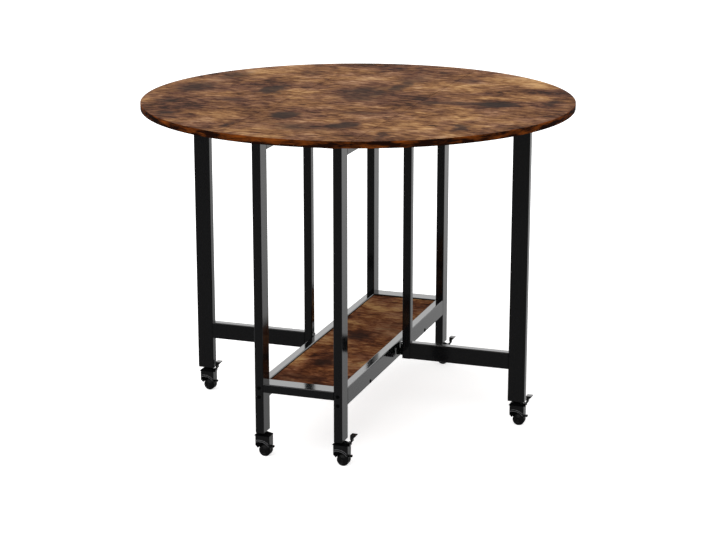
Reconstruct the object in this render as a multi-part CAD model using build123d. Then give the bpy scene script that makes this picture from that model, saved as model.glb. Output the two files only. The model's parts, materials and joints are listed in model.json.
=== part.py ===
from build123d import *
import os

os.makedirs("parts", exist_ok=True)

# Round gate-leg table in millimetres. Origin on the floor under the middle of the top,
# X along the two opened gates, Y along the narrow centre frame, Z up.

# Top
table_diameter = 1000.0
table_height = 750.0
board_thickness = 15.0
centre_board_width = 300.0
seam_gap = 1.0
rim_bevel = 1.0

# Centre frame, made of rectangular tube, with its posts set in from the rim of the top
frame_width = 205.0
frame_inset = 97.0
tube_narrow = 20.0
tube_wide = 40.0
tube_wall = 1.5
tube_corner = 2.5

# Low shelf
shelf_rail_top = 174.0
shelf_board_drop = 3.0
shelf_board_thickness = 15.0
shelf_clearance = 0.5
crossbar_size = 20.0
crossbar_offset = 209.0

# Gates, their outer posts set in from the rim too
gate_inset = 87.5
gate_gap = 11.0
gate_bar_lift = 1.0
gate_top_space = 4.0
gate_cap_clearance = 0.3
gate_cap_depth = 10.0

# Gate hinges, one at each bar
gate_barrel_radius = 4.5
gate_pin_radius = 2.5
gate_hinge_margin = 4.0
gate_plate_thickness = 2.0
gate_fixed_plate_reach = 24.0
gate_moving_plate_reach = 18.0

# Leaf hinges, two at each seam
leaf_hinge_inset = 18.0
leaf_hinge_length = 60.0
leaf_hinge_reach = 38.0
leaf_plate_thickness = 2.0
leaf_barrel_radius = 4.0
leaf_pin_radius = 2.0

# Running fits
knuckle_gap = 0.3
pin_fit = 0.08
plug_fit = 0.05

# Casters, each measured from its own stem on the floor
caster_height = 58.0
hood_front = 20.0
hood_back = 14.3
hood_depth = 25.0
hood_top = 49.5
hood_back_bottom = 25.0
hood_front_bottom = 18.0
hood_slant_x = -2.4
hood_slant_bottom = 13.4
hood_corner = 1.6
hood_lip = 1.6
hood_lip_height = 1.4
arch_middle_x = -2.5
arch_middle_z = 9.4
arch_radius = 24.0
arch_step = 1.6
arch_bevel = 0.6
neck_size = 10.0
neck_clearance = 1.5
web_thickness = 5.0
wheel_radius = 14.0
wheel_tread = 4.4
wheel_width = 7.9
wheel_face_radius = 8.6
wheel_trail = 7.0
wheel_side_gap = 0.4
wheel_room = 2.0
axle_radius = 2.0
axle_boss_radius = 4.6
stem_radius = 4.0
stem_engagement = 17.0
plug_height = 20.0
thin_plug_height = 6.0
bumper_reach = 7.5
bumper_height = 5.0
bumper_level = 23.0
bumper_bevel = 1.2

# Brake lever of a caster
lever_pivot_x = 19.0
lever_pivot_z = 51.0
lever_hub_radius = 4.0
lever_width = 10.0
lever_ear_width = 2.4
lever_trunnion_radius = 1.4
lever_ear_rise = 3.0
lever_room = 0.4
lever_arm_thickness = 4.6
lever_neck_level = 63.5
pedal_inner = 24.0
pedal_outer = 37.0
pedal_width = 15.0
pedal_top = 74.0
pedal_edge = 2.0

overrun = 1.0

# Levels and places that follow from the sizes above
table_radius = table_diameter / 2
frame_length = table_diameter - 2 * frame_inset
gate_reach = table_radius - gate_inset
top_underside = table_height - board_thickness
half_width = frame_width / 2
half_length = frame_length / 2
post_middle_x = half_width - tube_narrow / 2
post_middle_y = half_length - tube_wide / 2
rail_span = frame_length - 2 * tube_wide
end_span = frame_width - 2 * tube_narrow
gate_top = top_underside - gate_top_space
gate_bottom = shelf_rail_top - tube_wide + gate_bar_lift
gate_hinge_height = tube_wide - 2 * gate_hinge_margin
pivot_post_inner = half_width + gate_gap
bar_start = pivot_post_inner + tube_narrow
bar_end = gate_reach - tube_wide
outer_post_middle = gate_reach - tube_wide / 2
gate_axis_x = half_width + gate_gap / 2
gate_axis_y = tube_narrow / 2
seam_x = centre_board_width / 2
leaf_axis_z = top_underside - leaf_barrel_radius
leaf_hinge_offset = half_length - leaf_hinge_inset
hood_length = hood_front + hood_back
hood_middle = (hood_front - hood_back) / 2
lever_ear_reach = lever_width / 2 + knuckle_gap + lever_ear_width


def save(name, shape):
    """Write one sub-part to its own file."""
    shape.label = name
    export_step(shape, os.path.join("parts", name + ".step"))


def tube(size_x, size_y, length):
    """Rectangular tube along Z with rounded outer corners, standing on Z = 0."""
    outside = RectangleRounded(size_x, size_y, tube_corner)
    inside = Rectangle(size_x - 2 * tube_wall, size_y - 2 * tube_wall)
    return extrude(outside - inside, amount=length)


def tube_along_y(size_x, size_z, length):
    """Rectangular tube along Y, centred on all three axes."""
    return Rot(90, 0, 0) * Pos(0, 0, -length / 2) * tube(size_x, size_z, length)


def tube_along_x(size_y, size_z, length):
    """Rectangular tube along X, centred on all three axes."""
    return Rot(0, 90, 0) * Pos(0, 0, -length / 2) * tube(size_z, size_y, length)


def rod(radius, start, end, axis):
    """Round bar of the given radius from start to end along an axis through the origin."""
    bar = Pos(0, 0, (start + end) / 2) * Cylinder(radius, end - start)
    turns = {"x": Rot(0, 90, 0), "y": Rot(-90, 0, 0), "z": Rot(0, 0, 0)}
    return turns[axis] * bar


def half_turned(shape):
    """The same shape turned half a turn about the table's middle."""
    return Rot(0, 0, 180) * shape


# Top: a centre board and two leaves that make one round board
def board_between(start_x, end_x):
    """The part of the round top between two X values, with its rim edges bevelled."""
    strip = Pos((start_x + end_x) / 2, 0) * Rectangle(end_x - start_x, table_diameter + 2 * overrun)
    board = extrude(Circle(table_radius) & strip, amount=board_thickness)
    rim = board.edges().filter_by(GeomType.CIRCLE)
    return Pos(0, 0, top_underside) * chamfer(rim, rim_bevel)


def leaf_right_board():
    return board_between(seam_x + seam_gap / 2, table_radius + overrun)


def centre_board():
    return board_between(-seam_x + seam_gap / 2, seam_x - seam_gap / 2)


# Centre frame
def centre_post(side, end):
    post = tube(tube_narrow, tube_wide, top_underside - caster_height)
    return Pos(side * post_middle_x, end * post_middle_y, caster_height) * post


def side_rail(side, top):
    rail = tube_along_y(tube_narrow, tube_wide, rail_span)
    return Pos(side * post_middle_x, 0, top - tube_wide / 2) * rail


def end_rail(end, top):
    """Rail laid flat between the two posts of one end."""
    rail = tube_along_x(tube_wide, tube_narrow, end_span)
    return Pos(0, end * post_middle_y, top - tube_narrow / 2) * rail


def shelf_board():
    size_x = end_span - 2 * shelf_clearance
    size_y = rail_span - 2 * shelf_clearance
    board = Box(size_x, size_y, shelf_board_thickness)
    board = chamfer(board.edges().group_by(Axis.Z)[-1], shelf_clearance)
    return Pos(0, 0, shelf_rail_top - shelf_board_drop - shelf_board_thickness / 2) * board


def shelf_crossbars():
    level = shelf_rail_top - shelf_board_drop - shelf_board_thickness - crossbar_size / 2
    bar = tube_along_x(crossbar_size, crossbar_size, end_span)
    return Compound([Pos(0, end * crossbar_offset, level) * bar for end in (-1, 1)])


# Plastic plugs in the open tube ends
def end_plug(size_x, size_y, height):
    inside_x = size_x - 2 * tube_wall - 2 * plug_fit
    inside_y = size_y - 2 * tube_wall - 2 * plug_fit
    return extrude(Rectangle(inside_x, inside_y), amount=height)


def foot_plug(size_x, size_y):
    """Plug in the foot of a post, with a socket for the caster stem."""
    plug = end_plug(size_x, size_y, plug_height)
    return plug - rod(stem_radius + pin_fit, -overrun, plug_height + overrun, "z")


# One gate, drawn on the right; the left one is the same turned half a turn
def gate_pivot_post():
    post = tube(tube_narrow, tube_narrow, gate_top - gate_bottom)
    return Pos(pivot_post_inner + tube_narrow / 2, 0, gate_bottom) * post


def gate_outer_post():
    post = tube(tube_wide, tube_narrow, gate_top - caster_height)
    return Pos(outer_post_middle, 0, caster_height) * post


def gate_end_plugs():
    """Socket plug of the outer post and a thin plug at each end of the pivot post."""
    thin = end_plug(tube_narrow, tube_narrow, thin_plug_height)
    pivot_middle = pivot_post_inner + tube_narrow / 2
    return Compound([
        Pos(outer_post_middle, 0, caster_height) * foot_plug(tube_wide, tube_narrow),
        Pos(pivot_middle, 0, gate_bottom) * thin,
        Pos(pivot_middle, 0, gate_top - thin_plug_height) * thin,
    ])


def gate_bar(bottom):
    bar = tube_along_x(tube_narrow, tube_wide, bar_end - bar_start)
    return Pos((bar_start + bar_end) / 2, 0, bottom + tube_wide / 2) * bar


def gate_top_cap():
    """Plastic cap on the outer post, which the leaf rests on."""
    height = gate_top_space - gate_cap_clearance
    cap = extrude(Rectangle(tube_wide, tube_narrow), amount=height)
    cap = chamfer(cap.edges().group_by(Axis.Z)[-1], height / 3)
    skirt = end_plug(tube_wide, tube_narrow, -gate_cap_depth)
    return Pos(outer_post_middle, 0, gate_top) * (cap + skirt)


# Gate hinges stand in the gap between rail and pivot post, their axis level with the gate's back
def gate_hinge_levels():
    lower = shelf_rail_top - tube_wide / 2
    upper = top_underside - gate_top_space - tube_wide / 2
    return lower, upper


def gate_barrel(start, end):
    return Pos(gate_axis_x, gate_axis_y, 0) * rod(gate_barrel_radius, start, end, "z")


def gate_pin_hole():
    hole = rod(gate_pin_radius + pin_fit, -gate_hinge_height, gate_hinge_height, "z")
    return Pos(gate_axis_x, gate_axis_y, 0) * hole


def gate_hinge_half(plate_x, plate_y, reach, start):
    """Welded plate with one knuckle that fills half of the hinge's height."""
    end = start + (gate_hinge_height - knuckle_gap) / 2
    plate = Box(gate_plate_thickness, reach, end - start)
    plate = Pos(plate_x, plate_y, (start + end) / 2) * plate
    return plate + gate_barrel(start, end) - gate_pin_hole()


def gate_hinge_bracket(level):
    """Fixed half on the rail, with the lower knuckle."""
    plate_x = half_width + gate_plate_thickness / 2
    plate_y = gate_axis_y + gate_fixed_plate_reach / 2
    half = gate_hinge_half(plate_x, plate_y, gate_fixed_plate_reach, -gate_hinge_height / 2)
    return Pos(0, 0, level) * half


def gate_hinge_leaf(level):
    """Moving half on the pivot post, with the upper knuckle."""
    plate_x = pivot_post_inner - gate_plate_thickness / 2
    plate_y = gate_axis_y - gate_moving_plate_reach / 2
    half = gate_hinge_half(plate_x, plate_y, gate_moving_plate_reach, knuckle_gap / 2)
    return Pos(0, 0, level) * half


def gate_hinge_pin(level):
    half = gate_hinge_height / 2
    return Pos(gate_axis_x, gate_axis_y, level) * rod(gate_pin_radius, -half, half, "z")


# Leaf hinges lie under the seams, their axis below the boards
def leaf_knuckle(start, end):
    return Pos(seam_x, 0, leaf_axis_z) * rod(leaf_barrel_radius, start, end, "y")


def leaf_hinge_half(direction):
    """Plate from the seam towards the middle (-1) or the rim (+1), with the knuckle of its own end."""
    half = leaf_hinge_length / 2
    plate = Box(leaf_hinge_reach, leaf_hinge_length, leaf_plate_thickness)
    middle = seam_x + direction * leaf_hinge_reach / 2
    plate = Pos(middle, 0, top_underside - leaf_plate_thickness / 2) * plate
    room = rod(leaf_barrel_radius + knuckle_gap, -knuckle_gap / 2, half + overrun, "y")
    plate = plate - Pos(seam_x, 0, leaf_axis_z) * room
    hinge = plate + leaf_knuckle(-half, -knuckle_gap / 2)
    hole = rod(leaf_pin_radius + pin_fit, -leaf_hinge_length, leaf_hinge_length, "y")
    hinge = hinge - Pos(seam_x, 0, leaf_axis_z) * hole
    return hinge if direction < 0 else mirror(hinge, about=Plane.XZ)


def leaf_hinge_pin(offset):
    half = leaf_hinge_length / 2
    return Pos(seam_x, offset, leaf_axis_z) * rod(leaf_pin_radius, -half, half, "y")


# Casters, drawn about their own stem and then moved under a post
def hood_outline():
    """Side view of the hood without its panels: slanted at the back, with a boss for the axle."""
    boss_low = wheel_radius - axle_boss_radius / 2
    outline = Polygon(
        (-hood_back, hood_top),
        (-hood_back, hood_back_bottom),
        (hood_slant_x, hood_slant_bottom),
        (wheel_trail - axle_boss_radius, boss_low),
        (wheel_trail + axle_boss_radius, boss_low),
        (hood_front, hood_front_bottom),
        (hood_front, hood_top),
        align=None,
    )
    return outline + Pos(wheel_trail, wheel_radius) * Circle(axle_boss_radius)


def hood_panels():
    """Raised side panels that end in a wide arch over the wheels, its edge bevelled."""
    low = hood_front_bottom + hood_corner
    sheet = Pos(hood_middle, (hood_top + low) / 2) * Rectangle(hood_length, hood_top - low)
    sheet = sheet - Pos(arch_middle_x, arch_middle_z) * Circle(arch_radius)
    panels = extrude(Plane.XZ * sheet, amount=hood_depth / 2, both=True)
    return chamfer(panels.edges().filter_by(GeomType.CIRCLE), arch_bevel)


def hood_neck():
    """Lipped plate and pyramid that carry the hood up to the stem."""
    plate = Pos(hood_middle - hood_lip / 2, 0) * Rectangle(hood_length + hood_lip, hood_depth)
    plate = extrude(Pos(0, 0, hood_top) * plate, amount=-hood_lip_height)
    tip = caster_height - neck_clearance
    back = -hood_back - hood_lip
    half_neck = neck_size / 2
    half_depth = hood_depth / 2
    slopes = [(half_neck, tip), (-half_neck, tip)]
    side_view = Polygon((back, hood_top), (hood_front, hood_top), *slopes, align=None)
    end_view = Polygon((-half_depth, hood_top), (half_depth, hood_top), *slopes, align=None)
    pyramid = extrude(Plane.XZ * side_view, amount=hood_depth, both=True)
    return plate + (pyramid & extrude(Plane.YZ * end_view, amount=hood_length, both=True))


def caster_hood(braked):
    """Hood over two wheels, with a web for the axle and the stem that turns in the plug."""
    core = extrude(Plane.XZ * hood_outline(), amount=hood_depth / 2 - arch_step, both=True)
    plan = Rectangle(hood_length, hood_depth)
    plan = Pos(hood_middle, 0) * chamfer(plan.vertices(), hood_corner)
    hood = (core + hood_panels()) & extrude(plan, amount=hood_top)
    hood = hood + hood_neck()
    room = rod(wheel_radius + wheel_room, web_thickness / 2, hood_depth, "y")
    for one in (room, mirror(room, about=Plane.XZ)):
        hood = hood - Pos(wheel_trail, 0, wheel_radius) * one
    bore = rod(axle_radius + pin_fit, -hood_depth, hood_depth, "y")
    hood = hood - Pos(wheel_trail, 0, wheel_radius) * bore
    bumper = Box(bumper_reach + overrun, web_thickness, bumper_height)
    bumper = chamfer(bumper.edges().group_by(Axis.X)[-1], bumper_bevel)
    bumper_x = hood_front + (bumper_reach - overrun) / 2
    hood = hood + Pos(bumper_x, 0, bumper_level) * bumper
    hood = hood + rod(stem_radius, hood_top, caster_height + stem_engagement, "z")
    if braked:
        hood = hood + lever_seat() - lever_space()
    return hood


def lever_seat():
    """Block at the front of the hood, of which the lever's room leaves two ears."""
    block = Box(2 * lever_hub_radius, 2 * lever_ear_reach, lever_hub_radius + lever_ear_rise)
    block = chamfer(block.edges().group_by(Axis.Z)[-1].filter_by(Axis.Y), lever_ear_rise / 2)
    middle = lever_pivot_z + (lever_ear_rise - lever_hub_radius) / 2
    return Pos(lever_pivot_x, 0, middle) * block


def lever_space():
    """What the lever needs in the hood: room for its hub, and a hole in both ears."""
    side = lever_hub_radius + lever_room
    room = Box(2 * side + overrun, lever_width + 2 * knuckle_gap, 2 * side)
    hole = rod(lever_trunnion_radius + pin_fit, -lever_ear_reach, lever_ear_reach, "y")
    return Pos(lever_pivot_x, 0, lever_pivot_z) * (Pos(overrun / 2, 0, 0) * room + hole)


def caster_wheels():
    """Two wheels with a flat tread that tapers to the outer face, one each side of the web."""
    profile = Polygon(
        (axle_radius, 0),
        (wheel_radius, 0),
        (wheel_radius, wheel_tread),
        (wheel_face_radius, wheel_width),
        (axle_radius, wheel_width),
        align=None,
    )
    wheel = revolve(Plane.XZ * profile, Axis.Z)
    start = web_thickness / 2 + wheel_side_gap
    near = Rot(-90, 0, 0) * Pos(0, 0, start) * wheel
    far = Rot(90, 0, 0) * Pos(0, 0, start) * wheel
    return Compound([Pos(wheel_trail, 0, wheel_radius) * one for one in (near, far)])


def caster_axle():
    reach = web_thickness / 2 + wheel_side_gap + wheel_width
    return Pos(wheel_trail, 0, wheel_radius) * rod(axle_radius, -reach, reach, "y")


def caster_lever():
    """Foot lever: a hub between the ears, a short arm and a wedge to step on."""
    hub = Pos(lever_pivot_x, lever_pivot_z) * Circle(lever_hub_radius)
    arm = Polygon(
        (lever_pivot_x, lever_pivot_z),
        (lever_pivot_x + lever_hub_radius, lever_pivot_z),
        (pedal_inner + lever_arm_thickness, caster_height),
        (pedal_inner + lever_arm_thickness, lever_neck_level),
        (pedal_inner, lever_neck_level),
        (pedal_inner, caster_height),
        align=None,
    )
    wedge = Polygon(
        (pedal_inner, lever_neck_level),
        (pedal_inner + lever_arm_thickness, lever_neck_level),
        (pedal_outer, pedal_top - pedal_edge),
        (pedal_outer, pedal_top),
        (pedal_inner, pedal_top),
        align=None,
    )
    trunnion = rod(lever_trunnion_radius, -lever_ear_reach, lever_ear_reach, "y")
    lever = extrude(Plane.XZ * (hub + arm), amount=lever_width / 2, both=True)
    lever = lever + extrude(Plane.XZ * wedge, amount=pedal_width / 2, both=True)
    return lever + Pos(lever_pivot_x, 0, lever_pivot_z) * trunnion


caster_places = {
    "front_left": (-post_middle_x, -post_middle_y, False),
    "front_right": (post_middle_x, -post_middle_y, True),
    "back_left": (-post_middle_x, post_middle_y, False),
    "back_right": (post_middle_x, post_middle_y, True),
    "gate_left": (-outer_post_middle, 0, True),
    "gate_right": (outer_post_middle, 0, True),
}


def write_top():
    leaf = leaf_right_board()
    save("centre_board", centre_board())
    save("leaf_right", leaf)
    save("leaf_left", half_turned(leaf))


def write_frame():
    for end_name, end in (("front", -1), ("back", 1)):
        for side_name, side in (("left", -1), ("right", 1)):
            save(f"post_{end_name}_{side_name}", centre_post(side, end))
        save(f"lower_end_rail_{end_name}", end_rail(end, shelf_rail_top))
        save(f"upper_end_rail_{end_name}", end_rail(end, top_underside))
    for side_name, side in (("left", -1), ("right", 1)):
        save(f"lower_side_rail_{side_name}", side_rail(side, shelf_rail_top))
        save(f"upper_side_rail_{side_name}", side_rail(side, top_underside))
    save("shelf_board", shelf_board())
    save("shelf_crossbars", shelf_crossbars())
    plug = foot_plug(tube_narrow, tube_wide)
    corners = [(x, y) for x in (-post_middle_x, post_middle_x) for y in (-post_middle_y, post_middle_y)]
    save("frame_foot_plugs", Compound([Pos(x, y, caster_height) * plug for x, y in corners]))


def write_gates():
    levels = gate_hinge_levels()
    upper_bar_bottom = gate_top - tube_wide
    right = {
        "pivot_post": gate_pivot_post(),
        "outer_post": gate_outer_post(),
        "lower_bar": gate_bar(gate_bottom),
        "upper_bar": gate_bar(upper_bar_bottom),
        "top_cap": gate_top_cap(),
        "end_plugs": gate_end_plugs(),
        "hinge_leaves": Compound([gate_hinge_leaf(level) for level in levels]),
    }
    for piece, shape in right.items():
        save(f"gate_right_{piece}", shape)
        save(f"gate_left_{piece}", half_turned(shape))
    brackets = [gate_hinge_bracket(level) for level in levels]
    pins = [gate_hinge_pin(level) for level in levels]
    save("gate_hinge_brackets", Compound(brackets + [half_turned(one) for one in brackets]))
    save("gate_hinge_pins", Compound(pins + [half_turned(one) for one in pins]))


def write_leaf_hinges():
    offsets = (-leaf_hinge_offset, leaf_hinge_offset)
    fixed = [Pos(0, offset, 0) * leaf_hinge_half(-1) for offset in offsets]
    moving = [Pos(0, offset, 0) * leaf_hinge_half(1) for offset in offsets]
    pins = [leaf_hinge_pin(offset) for offset in offsets]
    save("leaf_hinge_fixed_plates", Compound(fixed + [half_turned(one) for one in fixed]))
    save("leaf_hinge_pins", Compound(pins + [half_turned(one) for one in pins]))
    save("leaf_right_hinge_plates", Compound(moving))
    save("leaf_left_hinge_plates", Compound([half_turned(one) for one in moving]))


def write_casters():
    wheels = caster_wheels()
    axle = caster_axle()
    lever = caster_lever()
    hoods = {braked: caster_hood(braked) for braked in (False, True)}
    for place, (x, y, braked) in caster_places.items():
        save(f"caster_{place}_hood", Pos(x, y, 0) * hoods[braked])
        save(f"caster_{place}_wheels", Pos(x, y, 0) * wheels)
        save(f"caster_{place}_axle", Pos(x, y, 0) * axle)
        if braked:
            save(f"caster_{place}_lever", Pos(x, y, 0) * lever)


write_top()
write_frame()
write_gates()
write_leaf_hinges()
write_casters()
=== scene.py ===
import bpy
import bmesh
import json
import math
from mathutils import Matrix, Vector


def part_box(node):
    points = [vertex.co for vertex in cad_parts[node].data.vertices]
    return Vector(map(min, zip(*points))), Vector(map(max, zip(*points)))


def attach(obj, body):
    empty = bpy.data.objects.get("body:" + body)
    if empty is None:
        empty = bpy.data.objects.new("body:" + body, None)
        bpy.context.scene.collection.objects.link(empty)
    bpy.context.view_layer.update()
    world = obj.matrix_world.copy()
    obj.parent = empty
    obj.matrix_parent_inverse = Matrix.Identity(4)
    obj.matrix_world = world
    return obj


# Round folding table on casters: rustic board top and shelf, glossy black tube frame.

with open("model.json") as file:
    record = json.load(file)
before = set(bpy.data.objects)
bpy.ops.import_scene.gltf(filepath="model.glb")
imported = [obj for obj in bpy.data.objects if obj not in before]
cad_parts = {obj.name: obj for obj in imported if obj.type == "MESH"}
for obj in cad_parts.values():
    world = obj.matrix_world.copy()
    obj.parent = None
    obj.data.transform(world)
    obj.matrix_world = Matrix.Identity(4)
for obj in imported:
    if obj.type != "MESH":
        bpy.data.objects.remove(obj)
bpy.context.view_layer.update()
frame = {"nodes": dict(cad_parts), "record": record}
nodes = frame["nodes"]


def paint(red, green, blue):
    # a colour picked as 0 to 255 on screen, as the linear value that shaders use
    def linear(value):
        share = value / 255
        return share / 12.92 if share <= 0.04045 else ((share + 0.055) / 1.055) ** 2.4
    return (linear(red), linear(green), linear(blue), 1.0)


# Shader building: a Wire is one output socket, a Finish is one material
class Wire:
    def __init__(self, finish, socket):
        self.finish = finish
        self.socket = socket

    def calc(self, operation, first, second):
        return self.finish.node("ShaderNodeMath", {"operation": operation}, {0: first, 1: second})

    def __add__(self, other):
        return self.calc("ADD", self, other)

    def __sub__(self, other):
        return self.calc("SUBTRACT", self, other)

    def __rsub__(self, other):
        return self.calc("SUBTRACT", other, self)

    def __mul__(self, other):
        return self.calc("MULTIPLY", self, other)

    def __abs__(self):
        return self.finish.node("ShaderNodeMath", {"operation": "ABSOLUTE"}, {0: self})

    __radd__ = __add__
    __rmul__ = __mul__


class Finish:
    def __init__(self, name, tree=None):
        if tree is None:
            self.material = bpy.data.materials.new(name)
            self.material.use_nodes = True
            tree = self.material.node_tree
        self.tree = tree
        tree.nodes.clear()

    def node(self, kind, settings=None, sockets=None, output=0):
        made = self.tree.nodes.new(kind)
        for key, value in (settings or {}).items():
            if key == "stops":
                self.setStops(made.color_ramp, value)
            else:
                setattr(made, key, value)
        for key, value in (sockets or {}).items():
            if isinstance(value, Wire):
                self.tree.links.new(value.socket, made.inputs[key])
            else:
                made.inputs[key].default_value = value
        return Wire(self, made.outputs[output] if made.outputs else None)

    def setStops(self, ramp, stops):
        while len(ramp.elements) < len(stops):
            ramp.elements.new(1.0)
        for element, (position, colour) in zip(ramp.elements, stops):
            element.position = position
            element.color = colour

    def pick(self, wire, *names):
        # the named outputs of the node that a wire comes from
        return [Wire(self, wire.socket.node.outputs[name]) for name in names]

    def place(self):
        return self.node("ShaderNodeTexCoord", output="Object")

    def axes(self, place):
        return self.pick(self.node("ShaderNodeSeparateXYZ", {}, {0: place}), "X", "Y", "Z")

    def rays(self):
        return self.pick(self.node("ShaderNodeLightPath"), "Is Camera Ray", "Is Glossy Ray")

    def stretch(self, place, scale, location=(0, 0, 0)):
        return self.node("ShaderNodeMapping", {},
                         {"Vector": place, "Scale": scale, "Location": location})

    def noise(self, place, pattern, output=0):
        scale, detail, roughness = pattern
        return self.node("ShaderNodeTexNoise", {},
                         {"Vector": place, "Scale": scale, "Detail": detail,
                          "Roughness": roughness}, output)

    def between(self, value, low, high):
        return self.node("ShaderNodeMapRange", {"interpolation_type": "SMOOTHSTEP"},
                         {"Value": value, "From Min": low, "From Max": high})

    def vector(self, operation, first, second, output=0):
        return self.node("ShaderNodeVectorMath", {"operation": operation}, {0: first, 1: second},
                         output)

    def distance(self, place, scale, middle):
        # how far a scaled place is from middle, where a scale of 0 leaves that axis out
        return self.vector("DISTANCE", self.vector("MULTIPLY", place, scale), middle, "Value")

    def mix(self, factor, first, second, blend="MIX"):
        return self.node("ShaderNodeMix", {"data_type": "RGBA", "blend_type": blend},
                         {0: factor, 6: first, 7: second}, 2)

    def ramp(self, value, stops):
        return self.node("ShaderNodeValToRGB", {"stops": stops}, {0: value})

    def bump(self, height, relief):
        strength, depth = relief
        return self.node("ShaderNodeBump", {},
                         {"Height": height, "Strength": strength, "Distance": depth})

    def shader(self, sockets):
        return self.node("ShaderNodeBsdfPrincipled", {}, sockets)

    def close(self, shader):
        self.node("ShaderNodeOutputMaterial", {}, {"Surface": shader})
        return self.material

    def surface(self, sockets):
        return self.close(self.shader(sockets))


noiseMiddle = 0.5  # noise runs from 0 to 1


def swing(pattern, weight):
    # moves by half the weight to either side
    return (pattern - noiseMiddle) * weight


# Rustic board: golden brown with purple-brown fields, blue-black patches and small knots.
# Fine saw marks and short strokes run along X, and fields are about as wide as they are long.
wood = {
    # colours from dark to light, each with the tone at which it stands
    "topTones": [(0.02, paint(36, 27, 21)), (0.26, paint(80, 52, 39)), (0.50, paint(124, 88, 63)),
                 (0.72, paint(160, 121, 86)), (1.0, paint(204, 166, 124))],
    "shelfTones": [(0.05, paint(44, 20, 8)), (0.30, paint(84, 45, 24)), (0.52, paint(128, 80, 50)),
                   (0.76, paint(168, 120, 82)), (1.0, paint(205, 164, 116))],
    "rimTones": [(0.48, paint(30, 13, 8)), (0.74, paint(138, 70, 22))],
    "topPatch": paint(42, 37, 34),
    "shelfPatch": paint(38, 22, 14),
    "coolTint": (0.99, 0.95, 1.04, 1),
    "warmTint": (1.08, 1.02, 0.88, 1),
    "roughness": 0.66,
    "roughnessSwing": 0.12,
    "gloss": 0.01,

    # noise patterns: scale, detail and roughness
    "wanderNoise": (22.0, 4.0, 0.6),
    "fieldNoise": (6.0, 3.0, 0.55),
    "blotchNoise": (15.0, 4.0, 0.6),
    "strokeNoise": (42.0, 5.0, 0.72),
    "threadNoise": (80.0, 5.0, 0.75),
    "fleckNoise": (105.0, 2.0, 0.6),
    "tintNoise": (13.0, 3.0, 0.6),
    "rimNoise": (15.0, 4.0, 0.65),

    # along x, y and z: how finely a pattern repeats there, its shift, and how far it wanders
    "blotchStretch": (0.8, 1.0, 1.0),
    "blotchShift": (3.1, 1.7, 0.4),
    "strokeStretch": (0.45, 1.3, 1.0),
    "threadStretch": (0.25, 1.2, 1.0),
    "fleckStretch": (0.42, 0.75, 1.0),
    "rimStretch": (1.0, 1.0, 6.0),
    "wanderReach": (0.070, 0.045, 0.0),

    # what each pattern adds to the tone
    # the shelf is lighter, and has stronger blotches, weaker threads and shorter strokes
    "baseTone": 0.35,
    "fieldWeight": 1.25,
    "blotchWeight": 0.70,
    "strokeWeight": 0.95,
    "threadWeight": 1.35,
    "fleckWeight": 0.24,
    "goldWeight": 0.19,
    "darkWeight": 0.15,
    "knotWeight": 0.35,
    "shelfLift": 0.11,
    "shelfBlotches": 0.9,
    "shelfThreads": 0.6,
    "shelfFiner": 0.9,

    # the two values between which a mask rises, or a place fades out
    "topLevels": (0.5, 0.6),
    "fleckWindow": (0.36, 0.64),
    "tintWindow": (0.36, 0.64),
    "patchWindow": (0.15, 0.95),
    "patchFade": (0.25, 1.45),
    "knotFade": (0.004, 0.015),
    "rimRadii": (0.4982, 0.4990),
    "rimHighlightLevels": (0.744, 0.749),

    "goldWarms": 0.12,
    "darkCools": 0.15,
    "patchRagged": 1.5,
    "patchCover": 0.82,
    # how much lighter the rim's top edge turns, a painted highlight
    "rimHighlightLift": 0.06,
    "strokeRelief": 0.6,
    "threadRelief": 0.4,
    "bump": (0.12, 0.0006),
}
# dark and golden places of the top and of the shelf:
# middle x and y, half width and half length, in metres, and strength
topDark = [
    (-0.226, 0.045, 0.034, 0.080, 1.0),
    (-0.087, -0.248, 0.036, 0.050, 1.0),
    (0.323, 0.028, 0.052, 0.042, 1.0),
    (0.232, 0.012, 0.060, 0.024, 0.6),
    (0.433, 0.080, 0.016, 0.070, 0.7),
    (-0.010, 0.080, 0.075, 0.095, 0.65),
    (0.046, 0.180, 0.018, 0.060, 0.7),
    (0.046, 0.280, 0.050, 0.070, 0.5),
    (0.180, 0.300, 0.045, 0.045, 0.4),
    (-0.410, 0.020, 0.055, 0.085, 0.75),
    (-0.385, 0.195, 0.045, 0.075, 0.65),
    (-0.214, 0.300, 0.040, 0.040, 0.5),
    (-0.277, -0.104, 0.040, 0.028, 0.55),
    (-0.404, -0.162, 0.032, 0.036, 0.6),
    (0.075, -0.312, 0.034, 0.038, 0.75),
    (0.060, -0.175, 0.070, 0.034, 0.5),
    (0.000, -0.365, 0.090, 0.055, 0.55),
    (0.020, -0.015, 0.075, 0.040, 0.35),
    (0.173, -0.011, 0.032, 0.028, 0.5),
    (0.318, -0.266, 0.016, 0.052, 0.75),
    (-0.347, -0.312, 0.032, 0.028, 0.6),
    (0.191, -0.393, 0.013, 0.042, 0.7),
    (-0.162, -0.393, 0.012, 0.036, 0.6),
]
topGold = [
    (-0.208, 0.196, 0.070, 0.060, 0.7),
    (0.210, 0.220, 0.120, 0.070, 0.8),
    (0.231, -0.139, 0.090, 0.100, 1.0),
    (-0.215, -0.270, 0.085, 0.065, 1.2),
    (0.330, 0.330, 0.120, 0.090, 1.5),
    (0.370, 0.130, 0.090, 0.050, 1.2),
    (0.280, 0.095, 0.060, 0.035, 0.8),
    (0.231, -0.330, 0.110, 0.070, 0.8),
    (-0.139, 0.000, 0.030, 0.070, 0.6),
]
shelfDark = [
    (-0.009, -0.200, 0.028, 0.032, 0.9),
    (-0.010, 0.012, 0.040, 0.045, 0.8),
    (-0.040, -0.325, 0.080, 0.035, 0.55),
    (0.065, -0.180, 0.020, 0.060, 0.4),
    (0.045, 0.100, 0.035, 0.090, 0.4),
    (0.060, 0.280, 0.030, 0.050, 0.4),
]
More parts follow.
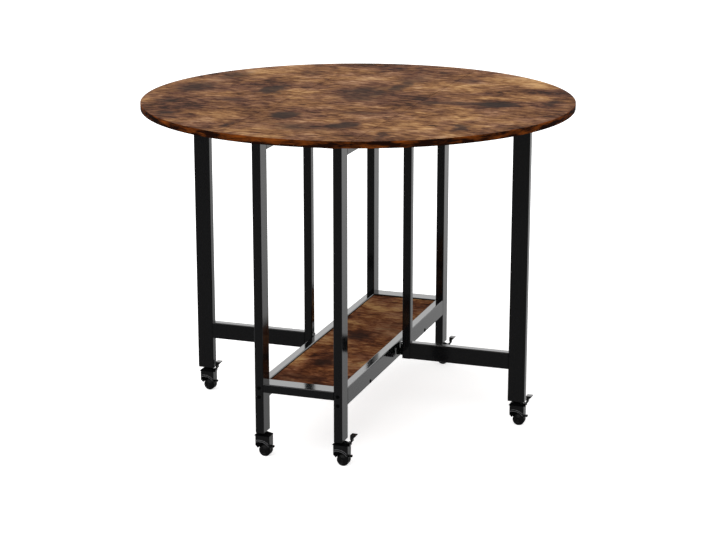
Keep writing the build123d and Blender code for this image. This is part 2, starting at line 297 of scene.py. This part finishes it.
shelfGold = [
    (-0.085, -0.110, 0.045, 0.090, 1.0),
    (-0.070, -0.215, 0.040, 0.055, 1.1),
    (0.010, -0.090, 0.040, 0.050, 0.9),
    (-0.045, 0.130, 0.045, 0.060, 1.0),
    (-0.030, 0.245, 0.050, 0.060, 0.7),
]
smallKnots = [(-0.098, -0.115), (0.139, -0.208), (0.289, 0.179), (0.370, -0.248),
              (0.289, -0.139), (-0.312, -0.205), (0.262, -0.262)]


def addPatches(finish, place, patches):
    # soft ellipses summed into one mask
    total = 0.0
    for x, y, halfWidth, halfLength, strength in patches:
        reach = finish.distance(place, (1 / halfWidth, 1 / halfLength, 0.0),
                                (x / halfWidth, y / halfLength, 0.0))
        total = (1 - finish.between(reach, *wood["patchFade"])) * strength + total
    return total


def addKnots(finish, place):
    total = 0.0
    for x, y in smallKnots:
        reach = finish.distance(place, (1.0, 1.0, 0.0), (x, y, 0.0))
        total = 1 - finish.between(reach, *wood["knotFade"]) + total
    return total


def makeWood():
    finish = Finish("rusticBoard")
    place = finish.place()
    height = finish.axes(place)[2]
    onTop = finish.between(height, *wood["topLevels"])
    below = 1 - onTop

    wander = finish.vector("SUBTRACT", finish.noise(place, wood["wanderNoise"], "Color"),
                           (noiseMiddle, noiseMiddle, noiseMiddle))
    bent = finish.vector("ADD", place, finish.vector("MULTIPLY", wander, wood["wanderReach"]))
    fields = finish.noise(bent, wood["fieldNoise"])
    blotches = finish.noise(finish.stretch(bent, wood["blotchStretch"], wood["blotchShift"]),
                            wood["blotchNoise"])
    finer = below * wood["shelfFiner"] + 1  # the shelf's strokes are shorter
    strokePlace = finish.vector("MULTIPLY", bent, wood["strokeStretch"])
    strokePlace = finish.node("ShaderNodeVectorMath", {"operation": "SCALE"},
                              {0: strokePlace, "Scale": finer})
    strokes = finish.noise(strokePlace, wood["strokeNoise"])
    threads = finish.noise(finish.stretch(place, wood["threadStretch"]), wood["threadNoise"])
    flecks = finish.noise(finish.stretch(place, wood["fleckStretch"]), wood["fleckNoise"])
    flecks = finish.between(flecks, *wood["fleckWindow"])

    gold = addPatches(finish, bent, topGold) * onTop + addPatches(finish, bent, shelfGold) * below
    dark = addPatches(finish, bent, topDark) * onTop + addPatches(finish, bent, shelfDark) * below
    knots = addKnots(finish, bent)
    tone = swing(fields, wood["fieldWeight"]) + swing(blotches, wood["blotchWeight"])
    tone = tone + swing(strokes, wood["strokeWeight"]) + swing(threads, wood["threadWeight"])
    tone = tone + wood["baseTone"] + gold * wood["goldWeight"] - dark * wood["darkWeight"]
    tone = tone - knots * wood["knotWeight"] + below * wood["shelfLift"]
    tone = tone + flecks * wood["fleckWeight"]
    shelfMarks = swing(blotches, wood["shelfBlotches"]) - swing(threads, wood["shelfThreads"])
    tone = tone + shelfMarks * below
    body = finish.mix(onTop, finish.ramp(tone, wood["shelfTones"]),
                      finish.ramp(tone, wood["topTones"]))

    warmth = finish.noise(bent, wood["tintNoise"])
    warmth = warmth + gold * wood["goldWarms"] - dark * wood["darkCools"]
    warmth = finish.between(warmth, *wood["tintWindow"])
    tint = finish.mix(warmth, wood["coolTint"], wood["warmTint"])
    body = finish.mix(1.0, body, tint, "MULTIPLY")

    ragged = dark + swing(strokes, wood["patchRagged"]) + swing(threads, wood["patchRagged"])
    patchMask = finish.between(ragged, *wood["patchWindow"]) * wood["patchCover"]
    patch = finish.mix(onTop, wood["shelfPatch"], wood["topPatch"])
    body = finish.mix(patchMask, body, patch)

    radius = finish.distance(place, (1.0, 1.0, 0.0), (0.0, 0.0, 0.0))
    onRim = finish.between(radius, *wood["rimRadii"]) * onTop
    along = finish.noise(finish.stretch(place, wood["rimStretch"]), wood["rimNoise"])
    # painted highlight: the rim turns lighter towards its top edge
    paintedRimHighlight = finish.between(height, *wood["rimHighlightLevels"]) * wood["rimHighlightLift"]
    colour = finish.mix(onRim, body, finish.ramp(along + paintedRimHighlight, wood["rimTones"]))
    relief = strokes * wood["strokeRelief"] + threads * wood["threadRelief"]
    return finish.surface({
        "Base Color": colour,
        "Roughness": wood["roughness"] - swing(threads, wood["roughnessSwing"]),
        "Specular IOR Level": wood["gloss"],
        "Normal": finish.bump(relief, wood["bump"]),
    })


# Glossy black enamel on the tubes
enamel = {"colour": paint(14, 14, 15), "roughness": 0.10, "roughnessSwing": 0.06, "ior": 1.52,
          "peelNoise": (900.0, 2.0, 0.5), "cloudNoise": (40.0, 3.0, 0.5), "bump": (0.02, 0.0002)}


def makeEnamel():
    finish = Finish("blackEnamel")
    place = finish.place()
    peel = finish.noise(place, enamel["peelNoise"])
    cloud = finish.noise(place, enamel["cloudNoise"])
    return finish.surface({
        "Base Color": enamel["colour"],
        "Roughness": swing(cloud, enamel["roughnessSwing"]) + enamel["roughness"],
        "IOR": enamel["ior"],
        "Normal": finish.bump(peel, enamel["bump"]),
    })


# Black oxide on the screw heads, duller and darker than the enamel round them
oxide = {"colour": paint(3, 3, 3), "roughness": 0.55, "roughnessSwing": 0.2, "gloss": 0.12,
         "speckNoise": (1800.0, 2.0, 0.5), "bump": (0.05, 0.0001)}


def makeOxide():
    finish = Finish("blackOxide")
    speck = finish.noise(finish.place(), oxide["speckNoise"])
    return finish.surface({
        "Base Color": oxide["colour"],
        "Roughness": swing(speck, oxide["roughnessSwing"]) + oxide["roughness"],
        "Specular IOR Level": oxide["gloss"],
        "Normal": finish.bump(speck, oxide["bump"]),
    })


# Black plastic on hoods, levers and plugs, and a lighter, glossier one on the arches' raised edges,
# which paints their highlight
plastic = {"colour": paint(12, 12, 13), "roughness": 0.24}
paintedHighlight = {"colour": paint(84, 84, 86), "roughness": 0.16}
plasticGrain = {"noise": (1400.0, 2.0, 0.5), "roughnessSwing": 0.10, "bump": (0.08, 0.0001)}


def plasticSockets(finish, place, look):
    grain = finish.noise(place, plasticGrain["noise"])
    return {
        "Base Color": look["colour"],
        "Roughness": swing(grain, plasticGrain["roughnessSwing"]) + look["roughness"],
        "Normal": finish.bump(grain, plasticGrain["bump"]),
    }


def makePlastic(name, look):
    finish = Finish(name)
    return finish.surface(plasticSockets(finish, finish.place(), look))


# Painted shade on the hoods: inside their arches and on their necks they turn matt and near black,
# where shade falls
paintedShade = {"colour": paint(4, 4, 5), "roughness": 0.8, "gloss": 0.05, "radius": 0.0240,
          "side": 0.0117, "neckLevel": 0.0483, "edge": 0.0003}
archFromAxle = (-0.0095, 0.0, -0.0046)  # the middle of a hood's arches, from its axle


def boxMiddle(node):
    return [(low + high) / 2 for low, high in zip(*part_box(node))]


def archMiddle(axle):
    return [value + offset for value, offset in zip(axle, archFromAxle)]


def makeHood(axles):
    finish = Finish("hoodPlasticPaintedShade")
    place = finish.place()
    across, height = finish.axes(place)[1:]
    edge = paintedShade["edge"]
    # painted shade mask: everything above the neck level, and inside each arch
    shadeMask = finish.between(height, paintedShade["neckLevel"] - edge, paintedShade["neckLevel"] + edge)
    for axle in axles:
        x, y, z = archMiddle(axle)
        reach = finish.distance(place, (1.0, 0.0, 1.0), (x, 0.0, z))
        outside = finish.between(reach, paintedShade["radius"] - edge, paintedShade["radius"])
        aside = finish.between(abs(across - y), paintedShade["side"] - edge, paintedShade["side"] + edge)
        shadeMask = (1 - outside) * (1 - aside) + shadeMask
    sockets = plasticSockets(finish, place, plastic)
    # painted shade: a near-black, matt shader with little gloss
    dark = finish.shader({
        "Base Color": paintedShade["colour"],
        "Roughness": paintedShade["roughness"],
        "Specular IOR Level": paintedShade["gloss"],
        "Normal": sockets["Normal"],
    })
    whole = finish.node("ShaderNodeMixShader", {},
                        {0: finish.between(shadeMask, 0.0, 1.0), 1: finish.shader(sockets), 2: dark})
    return finish.close(whole)


rubber = {"colour": paint(9, 9, 10), "scuff": paint(22, 22, 22), "roughness": 0.5,
          "roughnessSwing": 0.2, "gloss": 0.25, "scuffNoise": (260.0, 4.0, 0.6),
          "scuffWindow": (0.45, 0.75), "scuffCover": 0.4, "bump": (0.15, 0.0002)}


def makeRubber():
    finish = Finish("wheelRubber")
    scuff = finish.noise(finish.place(), rubber["scuffNoise"])
    cover = finish.between(scuff, *rubber["scuffWindow"]) * rubber["scuffCover"]
    return finish.surface({
        "Base Color": finish.mix(cover, rubber["colour"], rubber["scuff"]),
        "Roughness": swing(scuff, rubber["roughnessSwing"]) + rubber["roughness"],
        "Specular IOR Level": rubber["gloss"],
        "Normal": finish.bump(scuff, rubber["bump"]),
    })


steel = {"colour": paint(150, 150, 152), "roughness": 0.32, "roughnessSwing": 0.16,
         "brushNoise": (700.0, 3.0, 0.5), "brushStretch": (1.0, 0.06, 0.06), "bump": (0.10, 0.0001)}


def makeSteel():
    finish = Finish("hingeSteel")
    brush = finish.noise(finish.stretch(finish.place(), steel["brushStretch"]), steel["brushNoise"])
    return finish.surface({
        "Base Color": steel["colour"],
        "Metallic": 1.0,
        "Roughness": swing(brush, steel["roughnessSwing"]) + steel["roughness"],
        "Normal": finish.bump(brush, steel["bump"]),
    })


finishes = {
    "rustic_wood": makeWood(),
    "frame_metal": makeEnamel(),
    "black_plastic": makePlastic("blackPlastic", plastic),
    "caster_plastic": makePlastic("casterPlastic", plastic),
    "wheel_rubber": makeRubber(),
    "hinge_steel": makeSteel(),
}
# the hoods take the black plastic with painted shade in their arches and on their necks
hoodWithPaintedShade = makeHood([boxMiddle(name) for name in nodes if name.endswith("_axle")])
slotOf = {row["node"]: row["material_slot"] for row in frame["record"]["subparts"]}
for name, node in nodes.items():
    for materialSlot in node.material_slots:
        materialSlot.material = hoodWithPaintedShade if name.endswith("_hood") else finishes[slotOf[name]]
print("materials on", len(nodes), "nodes")


# New pieces: each is one mesh at the origin that rides on a body and takes a slot's finish
weldDistance = 1e-6
smoothAngle = 40  # degrees between faces that still shade as one


def makePiece(name, form, body, slot, material=None):
    bmesh.ops.remove_doubles(form, verts=form.verts, dist=weldDistance)
    bmesh.ops.recalc_face_normals(form, faces=form.faces)
    mesh = bpy.data.meshes.new(name)
    form.to_mesh(mesh)
    form.free()
    piece = bpy.data.objects.new(name, mesh)
    bpy.context.collection.objects.link(piece)
    mesh.materials.append(material or finishes[slot])
    for face in mesh.polygons:
        face.use_smooth = True
    mesh.set_sharp_from_angle(angle=math.radians(smoothAngle))
    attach(piece, body)


# Screw heads in the front posts and in the outer faces of the low side rails
screw = {"radius": 0.0042, "height": 0.0012, "edge": 0.0004, "edgeSteps": 2, "segments": 24,
         "socket": 0.0021, "socketWall": 0.0001, "socketDepth": 0.0008,
         "postLevels": (0.164, 0.143), "railOffset": 0.209, "railLevel": 0.140}


def topFace(form):
    return max(form.faces, key=lambda face: face.calc_center_median().z)


def addScrewHead(form, place, direction):
    # a pan head along +Z with a round socket, then turned so that it looks along direction
    bmesh.ops.create_cone(form, cap_ends=True, segments=screw["segments"], radius1=screw["radius"],
                          radius2=screw["radius"], depth=screw["height"])
    bmesh.ops.bevel(form, geom=list(topFace(form).edges), offset=screw["edge"],
                    segments=screw["edgeSteps"], profile=0.5, affect="EDGES", material=-1)
    top = topFace(form)
    flat = screw["radius"] - screw["edge"] - screw["socket"]
    bmesh.ops.inset_region(form, faces=[top], thickness=flat, depth=0)
    bmesh.ops.inset_region(form, faces=[top], thickness=screw["socketWall"],
                           depth=-screw["socketDepth"])
    turn = Vector(direction).to_track_quat("Z", "Y").to_matrix().to_4x4()
    lift = Matrix.Translation((0, 0, screw["height"] / 2))
    bmesh.ops.transform(form, matrix=Matrix.Translation(place) @ turn @ lift, verts=form.verts)


def joinForms(forms):
    whole = bmesh.new()
    for form in forms:
        part = bpy.data.meshes.new("part")
        form.to_mesh(part)
        form.free()
        whole.from_mesh(part)
        bpy.data.meshes.remove(part)
    return whole


def makeScrews():
    places = []
    for side in ("left", "right"):
        low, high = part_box("post_front_" + side)
        middle = (low[0] + high[0]) / 2
        places += [((middle, low[1], level), (0, -1, 0)) for level in screw["postLevels"]]
        low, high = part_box("lower_side_rail_" + side)
        outer, way = (low[0], -1) if side == "left" else (high[0], 1)
        places += [((outer, end * screw["railOffset"], screw["railLevel"]), (way, 0, 0))
                   for end in (-1, 1)]
    forms = []
    for place, direction in places:
        form = bmesh.new()
        addScrewHead(form, place, direction)
        forms.append(form)
    makePiece("frame_screw_heads", joinForms(forms), "table_frame", "frame_metal", makeOxide())
    print("screw heads placed", len(forms))


# Beads along the arches of the caster hoods, lighter grey as a painted highlight, and a ring and a
# cap on each wheel face
casterTrim = {"hoodHalf": 0.0125, "faceHalf": 0.0108, "beadRadii": (0.0254, 0.0290),
              "beadSize": 0.0008, "frontReach": 0.0203, "backReach": 0.0100,
              "ringRadius": 0.0066, "ringSize": 0.0008, "beadSides": 10, "arcSteps": 20,
              "ringSteps": 40, "capRadius": 0.0036, "capHeight": 0.0009, "capEdge": 0.0005,
              "capEdgeSteps": 2, "capSides": 24}


def edgesOf(verts):
    # each edge once, in the same order at every run
    return list(dict.fromkeys(edge for vert in verts for edge in vert.link_edges))


def addBead(form, middle, radius, size, start, end):
    # a round bead on an arc about the Y axis through middle, from start to end in degrees
    whole = end - start >= 360
    ring = bmesh.ops.create_circle(form, segments=casterTrim["beadSides"], radius=size)["verts"]
    first = Matrix.Rotation(math.radians(-start), 4, "Y") @ Matrix.Translation((radius, 0, 0))
    bmesh.ops.transform(form, matrix=Matrix.Translation(middle) @ first, verts=ring)
    edges = edgesOf(ring)
    if not whole:
        bmesh.ops.contextual_create(form, geom=edges)
    made = bmesh.ops.spin(form, geom=edges, cent=middle, axis=(0, -1, 0),
                          angle=math.radians(end - start), use_merge=whole,
                          steps=casterTrim["ringSteps" if whole else "arcSteps"])
    if not whole:
        last = [one for one in made["geom_last"] if isinstance(one, bmesh.types.BMEdge)]
        bmesh.ops.contextual_create(form, geom=last)


def addCap(form, middle, side):
    # a low round cap over the end of the axle
    verts = bmesh.ops.create_cone(form, cap_ends=True, segments=casterTrim["capSides"],
                                  radius1=casterTrim["capRadius"], radius2=casterTrim["capRadius"],
                                  depth=casterTrim["capHeight"] * 2)["verts"]
    rim = [edge for edge in edgesOf(verts) if all(vert.co.z > 0 for vert in edge.verts)]
    place = Matrix.Translation(middle) @ Matrix.Rotation(math.radians(-90 * side), 4, "X")
    bmesh.ops.transform(form, matrix=place, verts=verts)
    bmesh.ops.bevel(form, geom=rim, offset=casterTrim["capEdge"],
                    segments=casterTrim["capEdgeSteps"], profile=0.5, affect="EDGES", material=-1)


def makeCasterTrim():
    # the beads' lighter grey paints the light lines along the arches
    beadHighlightFinish = makePlastic("paintedHighlightEdge", paintedHighlight)
    casters = [name[len("caster_"):-len("_axle")] for name in nodes if name.endswith("_axle")]
    for name in casters:
        axle = boxMiddle("caster_" + name + "_axle")
        arch = archMiddle(axle)
        beads = bmesh.new()
        hubs = bmesh.new()
        for side in (-1, 1):
            wall = (arch[0], arch[1] + side * casterTrim["hoodHalf"], arch[2])
            for radius in casterTrim["beadRadii"]:
                start = math.degrees(math.acos(casterTrim["frontReach"] / radius))
                end = math.degrees(math.acos(-casterTrim["backReach"] / radius))
                addBead(beads, wall, radius, casterTrim["beadSize"], start, end)
            face = (axle[0], axle[1] + side * casterTrim["faceHalf"], axle[2])
            addBead(hubs, face, casterTrim["ringRadius"], casterTrim["ringSize"], 0, 360)
            addCap(hubs, face, side)
        makePiece("caster_" + name + "_arch_beads", beads, name + "_swivel", "caster_plastic",
                  beadHighlightFinish)
        makePiece("caster_" + name + "_hub_rings", hubs, name + "_roll", "caster_plastic")
    print("casters trimmed", len(casters))


makeScrews()
makeCasterTrim()


# Studio: white floor and backdrop, one soft sun, and a world bright behind and above the table
studio = {"floorSize": 14.0, "floorColour": 0.90, "floorGlow": 0.68,
          "sunStrength": 1.6, "sunSpread": 70, "sunTilt": 24, "sunTurn": -28, "sunGloss": 0.3,
          "ambient": 0.50, "backGlow": 1.0, "frontGlow": 0.14, "lowGlow": 0.34, "aboveGlow": 0.8,
          "boxGlow": 1.0, "lowWindow": (-0.40, -0.14), "behindWindow": (0.05, 0.55),
          "aboveWindow": (0.45, 0.85), "boxWindow": (0.20, 0.32)}


def makeFloor():
    mesh = bpy.data.meshes.new("floor")
    form = bmesh.new()
    bmesh.ops.create_grid(form, x_segments=1, y_segments=1, size=studio["floorSize"])
    form.to_mesh(mesh)
    form.free()
    floor = bpy.data.objects.new("floor", mesh)
    bpy.context.collection.objects.link(floor)
    finish = Finish("whiteFloor")
    camera, glossy = finish.rays()
    shade = studio["floorColour"]
    matt = finish.node("ShaderNodeBsdfDiffuse", {}, {"Color": (shade, shade, shade, 1)})
    glow = finish.node("ShaderNodeEmission", {}, {"Strength": studio["floorGlow"]})
    lit = finish.node("ShaderNodeAddShader", {}, {0: matt, 1: glow})
    seen = finish.node("ShaderNodeMixShader", {}, {0: camera, 1: matt, 2: lit})
    clear = finish.node("ShaderNodeBsdfTransparent")
    mesh.materials.append(finish.close(
        finish.node("ShaderNodeMixShader", {}, {0: glossy, 1: seen, 2: clear})))


def makeWorld():
    world = bpy.data.worlds.new("studioWorld")
    world.use_nodes = True
    bpy.context.scene.world = world
    finish = Finish("studioWorld", world.node_tree)
    back, up = finish.axes(finish.node("ShaderNodeTexCoord", output="Generated"))[1:]
    low = finish.between(up, *studio["lowWindow"])  # shiny sides fade towards the floor
    low = low * (1 - studio["lowGlow"]) + studio["lowGlow"]
    behind = finish.between(back, *studio["behindWindow"]) * low
    above = finish.between(up, *studio["aboveWindow"])
    bright = behind + above * studio["aboveGlow"]
    mirror = finish.node("ShaderNodeMath", {"operation": "MINIMUM"}, {0: bright, 1: 1.0})
    mirror = mirror * (studio["backGlow"] - studio["frontGlow"]) + studio["frontGlow"]
    softBox = finish.between(up, *studio["boxWindow"])  # flat rails catch a bright panel behind
    mirror = mirror + behind * softBox * studio["boxGlow"]
    camera, glossy = finish.rays()
    strength = camera + (1 - camera) * (glossy * mirror + (1 - glossy) * studio["ambient"])
    glow = finish.node("ShaderNodeBackground", {}, {"Color": (1, 1, 1, 1), "Strength": strength})
    finish.node("ShaderNodeOutputWorld", {}, {"Surface": glow})


def makeSun():
    lamp = bpy.data.lights.new("softSun", "SUN")
    lamp.energy = studio["sunStrength"]
    lamp.angle = math.radians(studio["sunSpread"])
    lamp.specular_factor = studio["sunGloss"]
    sun = bpy.data.objects.new("softSun", lamp)
    sun.rotation_euler = (math.radians(studio["sunTilt"]), 0, math.radians(studio["sunTurn"]))
    bpy.context.collection.objects.link(sun)


# Camera fitted to the outline of the top and the feet of the posts
view = {"place": (1.4419, -4.1619, 1.5463), "turn": 19.11, "tilt": 15.33, "lens": 97.15,
        "sensor": 36.0, "nearest": 0.05, "farthest": 60}


def makeCamera():
    data = bpy.data.cameras.new("camera")
    data.lens = view["lens"]
    data.sensor_width = view["sensor"]
    data.clip_start = view["nearest"]
    data.clip_end = view["farthest"]
    camera = bpy.data.objects.new("camera", data)
    camera.location = view["place"]
    camera.rotation_euler = (math.radians(90 - view["tilt"]), 0, math.radians(view["turn"]))
    bpy.context.collection.objects.link(camera)
    bpy.context.scene.camera = camera


makeFloor()
makeWorld()
makeSun()
makeCamera()
bpy.context.scene.view_settings.view_transform = "Standard"
print("studio ready")
